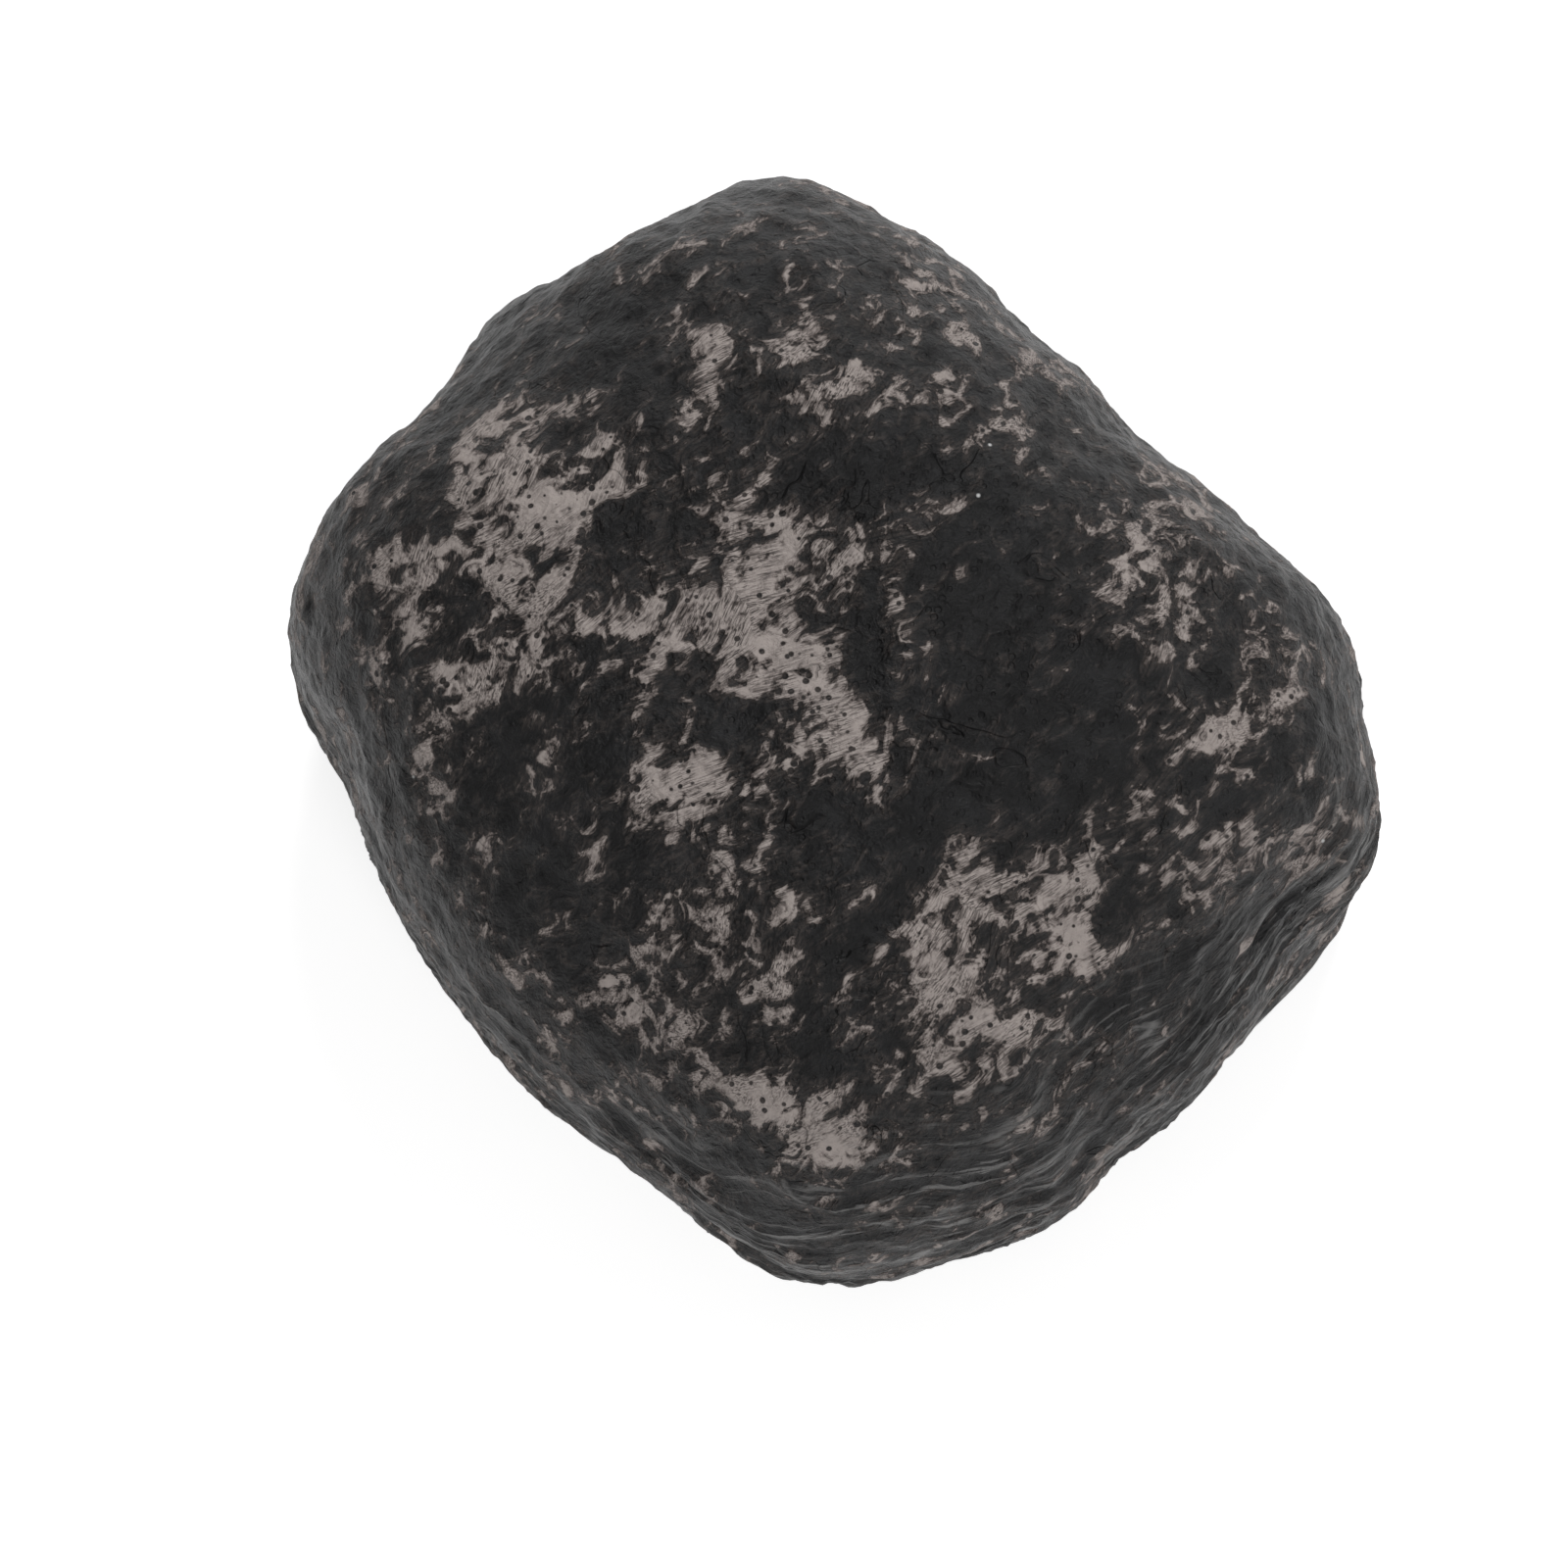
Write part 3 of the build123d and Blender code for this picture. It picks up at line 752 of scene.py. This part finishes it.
def brush_hairs(tree, place):
    """Marks of the brush's hairs, coarse and fine, whose way changes from stroke to stroke."""
    strokes = cell_field(tree, place, STROKE_SIZE)
    way = add(tree, "SeparateColor", i0=strokes.outputs["Color"]).outputs[0]
    turned = rotated(tree, place, ramp(tree, way, 0.0, 1.0, LEAST_TURN, MOST_TURN))
    coarse = noise_field(tree, stretch(tree, turned, 0.10, 1.0, 1.0), HAIR_SIZE, 2.0, 0.6)
    fine = noise_field(tree, stretch(tree, turned, 0.07, 1.0, 1.0), FINE_HAIR_SIZE, 2.0, 0.6)
    return coarse, fine


def paint_field(tree, place, pale, lump, hairs):
    """How well the paint took, in fragments along the brush's way, and their torn pattern."""
    brushed = rotated(tree, place, BRUSHED_WAY)
    long_way = stretch(tree, brushed, 0.65, 1.0, 0.8)
    fragments = noise_field(tree, long_way, FRAGMENT_SIZE, 5.0, 0.60, 0.5)
    torn = noise_field(tree, stretch(tree, brushed, 0.75, 1.0, 0.9), TORN_SIZE, 5.0, 0.58, 1.1)
    field = weighted_sum(
        tree, (fragments, 0.8), (pale, 0.135), (torn, 0.85), (lump, 0.07), (hairs, 0.08)
    )
    return field, torn


def unpitted(tree, place):
    """0 in the paint's pits and 1 between them. The pits' size varies over the rock."""
    cells = cell_field(tree, place, PIT_SPACING)
    size = ramp(tree, noise_field(tree, place, PIT_VARIES, 2.0, 0.5), 0.35, 0.65, 0.06, 0.24)
    return ramp(tree, maths(tree, "SUBTRACT", cells.outputs["Distance"], size), 0.0, 0.10)


def paint_colour(tree, place, field, fine_hairs):
    """Taupe, lightest in the middle of the fragments and dark between the fine hairs."""
    core = ramp(tree, field, PAINT_EDGE + 0.01, PAINT_EDGE + 0.13)
    paint = blend_colour(tree, core, colour(TAUPE), colour(TAUPE_LIGHT))
    thick = ramp(tree, noise_field(tree, place, THICK_SIZE, 4.0, 0.6), 0.40, 0.62)
    marked = ramp(tree, fine_hairs, 0.34, 0.58)
    covered = maths(tree, "MAXIMUM", marked, product(tree, thick, core))
    return blend_colour(tree, covered, colour(TAUPE_DARK), paint)


def ground_colour(tree, place, field, hairs):
    """Charcoal, worn in places, with a haze of paint round the fragments."""
    worn = ramp(tree, noise_field(tree, place, WORN_SIZE, 5.0, 0.65), 0.42, 0.70)
    ground = blend_colour(tree, worn, colour(CHARCOAL), colour(CHARCOAL_WORN))
    near = ramp(tree, field, PAINT_EDGE - 0.15, PAINT_EDGE + 0.02)
    haze = product(tree, near, ramp(tree, hairs, 0.38, 0.62, 0.15, 0.85))
    return blend_colour(tree, haze, ground, colour(TAUPE_DARK))


def crease_sheen_lines(tree, flow, streak, crest, side):
    """Broken lines round the side, on the wrinkles' crests and between them: partly silvery paint,
    mostly painted sheen.
    """
    # Painted highlight along the wrinkles' crests, and silvery lines between them
    crest_highlight = product(tree, ramp(tree, crest, 0.84, 0.98), ramp(tree, streak, 0.44, 0.56))
    sheen_line = maths(tree, "MAXIMUM", crest_highlight, ramp(tree, streak, 0.55, 0.64, 0.0, 0.85))
    drawn = stretch(tree, flow, 0.3, 0.3, 1.0)
    unbroken = ramp(tree, noise_field(tree, drawn, STREAK_BREAK, 4.0, 0.6), 0.36, 0.54)
    return product(tree, sheen_line, product(tree, unbroken, side))


def cracks(tree, place):
    """Thin cracks, in some areas only."""
    ridge = noise_field(tree, place, CRACK_SIZE, 3.0, 0.5, 1.2)
    away = maths(tree, "ABSOLUTE", maths(tree, "SUBTRACT", ridge, 0.5))
    here = ramp(tree, noise_field(tree, place, CRACK_AREA, 2.0, 0.5), 0.52, 0.60)
    return product(tree, ramp(tree, away, 0.0, 0.009, 1.0, 0.0), here)


def rock_paint():
    """Charcoal resin with dry-brushed taupe in ragged fragments, and silvery creases that are
    partly paint and mostly painted sheen.
    """
    material, tree, shader, place = new_material("rock_resin")
    pale, lump, side, crest = (
        add(tree, "Attribute", {"attribute_name": name}).outputs["Fac"]
        for name in ("pale", "lump", "side", "crest")
    )
    flow = add(tree, "Attribute", {"attribute_name": "flow"}).outputs["Vector"]
    hairs, fine_hairs = brush_hairs(tree, place)
    field, torn = paint_field(tree, place, pale, lump, hairs)
    body = ramp(tree, field, PAINT_EDGE, PAINT_EDGE + 0.03)
    whole = unpitted(tree, place)
    cover = product(tree, body, whole)
    streak = noise_field(tree, stretch(tree, flow, 0.07, 0.07, 1.0), STREAK_SIZE, 4.0, 0.62, 0.6)

    # Colour
    paint = paint_colour(tree, place, field, fine_hairs)
    surface = blend_colour(tree, cover, ground_colour(tree, place, field, hairs), paint)
    # Lines on the side: partly silvery paint, mostly painted sheen
    silver_sheen = product(tree, crease_sheen_lines(tree, flow, streak, crest, side), SILVER_SHEEN_COVER)
    surface = blend_colour(tree, silver_sheen, surface, colour(SILVER_AND_SHEEN))
    # Tiny painted glints, scattered over the rock
    glint_cells = cell_field(tree, place, GLINT_SPACING)
    painted_glint = ramp(tree, glint_cells.outputs["Distance"], 0.012, 0.030, 0.9, 0.0)
    surface = blend_colour(tree, painted_glint, surface, colour(GLINT))
    tree.links.new(surface, shader.inputs["Base Color"])

    # Gloss
    patchy = noise_field(tree, place, GLOSS_SIZE, 4.0, 0.6)
    rough = maths(tree, "MULTIPLY_ADD", patchy, 0.22, ramp(tree, cover, 0.0, 1.0, 0.28, 0.50))
    tree.links.new(rough, shader.inputs["Roughness"])
    shader.inputs["Specular IOR Level"].default_value = SKIN_SPECULAR

    # Relief too fine for the mesh
    grain = noise_field(tree, place, FINE_GRAIN_SIZE, 5.0, 0.62)
    height = weighted_sum(
        tree, (hairs, 0.20), (grain, 0.8), (torn, 1.5), (body, 0.35), (whole, 0.35),
        (cracks(tree, place), -0.7), (product(tree, streak, side), 1.4),
    )
    bump(tree, shader, height, 0.95, SKIN_BUMP)
    return material


make_rock()

# ---------------------------------------------------------------- the other pieces


def paler(shade, times, more=0.0):
    return tuple(min(1.0, part * times + more) for part in shade)


def tint(tree, shader, share, first, second):
    """The base colour, between two shades by a share that varies over the surface."""
    mixed = blend_colour(tree, share, colour(first), colour(second))
    tree.links.new(mixed, shader.inputs["Base Color"])


def roughen(tree, shader, grain, smoothest, roughest):
    """The roughness, between two levels by a grain."""
    rough = ramp(tree, grain, 0.3, 0.7, smoothest, roughest)
    tree.links.new(rough, shader.inputs["Roughness"])


def moulded(name, shade, grain_size=0.5 * MM, rough=0.5, strength=0.25):
    """Moulded plastic with a spark-eroded grain and faint wear."""
    material, tree, shader, place = new_material(name)
    worn = ramp(tree, noise_field(tree, place, 9 * MM, 5.0, 0.65), 0.35, 0.75)
    tint(tree, shader, worn, shade, paler(shade, 1.5, 0.004))
    grain = noise_field(tree, place, grain_size, 3.0, 0.6)
    roughen(tree, shader, grain, rough - 0.08, rough + 0.1)
    bump(tree, shader, grain, strength, 0.12 * MM)
    return material


def metal(name, shade, rough=0.3, along=(1.0, 0.08, 1.0)):
    """Turned or drawn metal, with fine marks along one way."""
    material, tree, shader, place = new_material(name)
    dull = ramp(tree, noise_field(tree, place, 3 * MM, 4.0, 0.6), 0.35, 0.7)
    tint(tree, shader, dull, shade, paler(shade, 1.12))
    marks = noise_field(tree, stretch(tree, place, *along), 0.12 * MM, 3.0, 0.6)
    roughen(tree, shader, marks, rough - 0.07, rough + 0.12)
    shader.inputs["Metallic"].default_value = 1.0
    bump(tree, shader, marks, 0.2, 0.03 * MM)
    return material


def rubber(name, shade):
    """Rubber with a pale bloom."""
    material, tree, shader, place = new_material(name)
    bloom = ramp(tree, noise_field(tree, place, 4 * MM, 5.0, 0.65), 0.4, 0.75)
    tint(tree, shader, bloom, shade, paler(shade, 1.8, 0.006))
    grain = noise_field(tree, place, 0.3 * MM, 3.0, 0.6)
    roughen(tree, shader, grain, 0.62, 0.8)
    bump(tree, shader, grain, 0.3, 0.08 * MM)
    return material


def open_foam(name, shade):
    """Open-cell foam: a pitted cell pattern in relief, with painted shade darkening the pits."""
    material, tree, shader, place = new_material(name)
    cells = cell_field(tree, place, 0.55 * MM, {"feature": "DISTANCE_TO_EDGE"})
    wall = ramp(tree, cells.outputs["Distance"], 0.02, 0.22, 1.0, 0.0)
    # Painted shade: the cells' middles, the pits, are darker than their walls
    pit_shade = tuple(part * 0.3 for part in shade)
    tint(tree, shader, wall, pit_shade, shade)
    shader.inputs["Roughness"].default_value = 0.95
    bump(tree, shader, wall, 0.7, 0.3 * MM)
    return material


def dress(node, material):
    """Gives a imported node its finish."""
    mesh = NODES[node].data
    mesh.materials.clear()
    mesh.materials.append(material)


def dress_pieces():
    """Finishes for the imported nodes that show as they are."""
    steel = metal("steel", (0.56, 0.56, 0.57), 0.28)
    turned_steel = metal("turned_steel", (0.60, 0.60, 0.61), 0.22, (0.05, 1.0, 1.0))
    dress("base_inserts", metal("brass", (0.72, 0.50, 0.20), 0.25, (1.0, 1.0, 0.1)))
    dress("base_gasket", rubber("gasket_rubber", (0.018, 0.018, 0.018)))
    dress("base_plate", moulded("moulded_base", (0.020, 0.020, 0.022)))
    dress("base_screws", steel)
    dress("key_tray", moulded("moulded_tray", (0.045, 0.045, 0.048), 0.7 * MM, 0.55))
    dress("tray_screws", steel)
    dress("hinge_pin", turned_steel)
    dress("door", moulded("moulded_door", (0.026, 0.026, 0.029), 0.35 * MM, 0.46))
    dress("latch_knob", moulded("latch_plastic", (0.085, 0.085, 0.09), 0.25 * MM, 0.35, 0.12))
    dress("knob_oring", rubber("ring_rubber", (0.012, 0.012, 0.012)))
    dress("cam_washer", steel)
    dress("latch_cam", metal("cam_steel", (0.58, 0.57, 0.54), 0.33))
    dress("cam_screw", steel)


PAD_ROWS = 60
PAD_COLUMNS = 120
PAD_CROWN = 0.35 * MM
PAD_BOW = 0.4                  # share of the crown that follows each side by itself
PAD_ROUND = 1.2 * MM
PAD_WAVE_SIZE = 6 * MM
PAD_WAVE = 0.12 * MM
PAD_DEEPEST = 0.45             # share of the thickness that a face may sink at most


def pad_points(low, high, crown_up):
    """The lower and then the upper layer. Both have soft edges, and the shown one is crowned."""
    width = high - low
    points = []
    for layer in (0, 1):
        for row in range(PAD_ROWS + 1):
            for column in range(PAD_COLUMNS + 1):
                u = column / PAD_COLUMNS * 2 - 1
                v = row / PAD_ROWS * 2 - 1
                x = low.x + (u + 1) / 2 * width.x
                y = low.y + (v + 1) / 2 * width.y
                edge = min((1 - abs(u)) * width.x / 2, (1 - abs(v)) * width.y / 2)
                sink = 0.0
                if edge < PAD_ROUND:
                    sink = PAD_ROUND - math.sqrt(max(0.0, PAD_ROUND ** 2 - (PAD_ROUND - edge) ** 2))
                if (layer == 1) == crown_up:
                    sink += PAD_CROWN * ((u * v) ** 2 + PAD_BOW * (u * u + v * v))
                    sink += abs(turbulence(Vector((x, y, layer)), PAD_WAVE_SIZE, 2, 11)) * PAD_WAVE
                sink = min(sink, width.z * PAD_DEEPEST)
                points.append((x, y, high.z - sink if layer else low.z + sink))
    return points


def pad_faces():
    """The faces of both layers, and the wall between them."""
    step = PAD_COLUMNS + 1
    start = (PAD_ROWS + 1) * step
    faces = []
    for row in range(PAD_ROWS):
        for column in range(PAD_COLUMNS):
            a = row * step + column
            faces.append((a, a + step, a + step + 1, a + 1))
            faces.append((start + a, start + a + 1, start + a + step + 1, start + a + step))
    loop = list(range(PAD_COLUMNS))
    loop += [row * step + PAD_COLUMNS for row in range(PAD_ROWS)]
    loop += [PAD_ROWS * step + column for column in range(PAD_COLUMNS, 0, -1)]
    loop += [row * step for row in range(PAD_ROWS, 0, -1)]
    for index, first in enumerate(loop):
        second = loop[(index + 1) % len(loop)]
        faces.append((first, second, start + second, start + first))
    return faces


def pad_from_box(name, node, body, material, crown_up):
    """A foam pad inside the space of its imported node."""
    low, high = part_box(node)
    mesh = new_mesh(name, pad_points(low, high, crown_up), pad_faces())
    pad = show_mesh(name, mesh, material)
    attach(pad, body)
    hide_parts(node)


SEAL_AROUND = 96
SEAL_ARC = 12                  # steps over the domed top
SEAL_BAND = 2.2 * MM
SEAL_CORNER = 7.7 * MM
SEAL_DOME = 0.6                # power of the dome: the less, the fuller


def make_seal():
    """The door's seal, a ring with a domed top."""
    low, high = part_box("door_seal")
    middle = (low + high) / 2
    outside = (high.x - low.x, high.y - low.y, SEAL_CORNER)
    inside = (outside[0] - 2 * SEAL_BAND, outside[1] - 2 * SEAL_BAND, SEAL_CORNER - SEAL_BAND)
    points = []
    for step in range(SEAL_AROUND):
        azimuth = 2 * math.pi * step / SEAL_AROUND
        outer = rounded_outline(*outside, azimuth)
        inner = rounded_outline(*inside, azimuth)
        for arc in range(SEAL_ARC + 1):
            share = arc / SEAL_ARC
            lift = math.sin(math.pi * share) ** SEAL_DOME if 0 < arc < SEAL_ARC else 0.0
            place = outer.lerp(inner, share) + middle.xy
            points.append((place.x, place.y, low.z + (high.z - low.z) * lift))
    ring = SEAL_ARC + 1
    faces = []
    for step in range(SEAL_AROUND):
        here = step * ring
        after = (step + 1) % SEAL_AROUND * ring
        for arc in range(SEAL_ARC):
            faces.append((here + arc, after + arc, after + arc + 1, here + arc + 1))
        faces.append((here + SEAL_ARC, after + SEAL_ARC, after, here))
    mesh = new_mesh("seal_ring", points, faces)
    seal = show_mesh("seal_ring", mesh, rubber("seal_rubber", (0.014, 0.014, 0.014)))
    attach(seal, "door")
    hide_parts("door_seal")


dress_pieces()
foam_look = open_foam("foam", (0.075, 0.075, 0.08))
pad_from_box("tray_pad", "tray_foam", "rock", foam_look, crown_up=False)
pad_from_box("door_pad", "door_foam", "door", foam_look, crown_up=True)
make_seal()

# ---------------------------------------------------------------- hand over

bpy.context.view_layer.update()
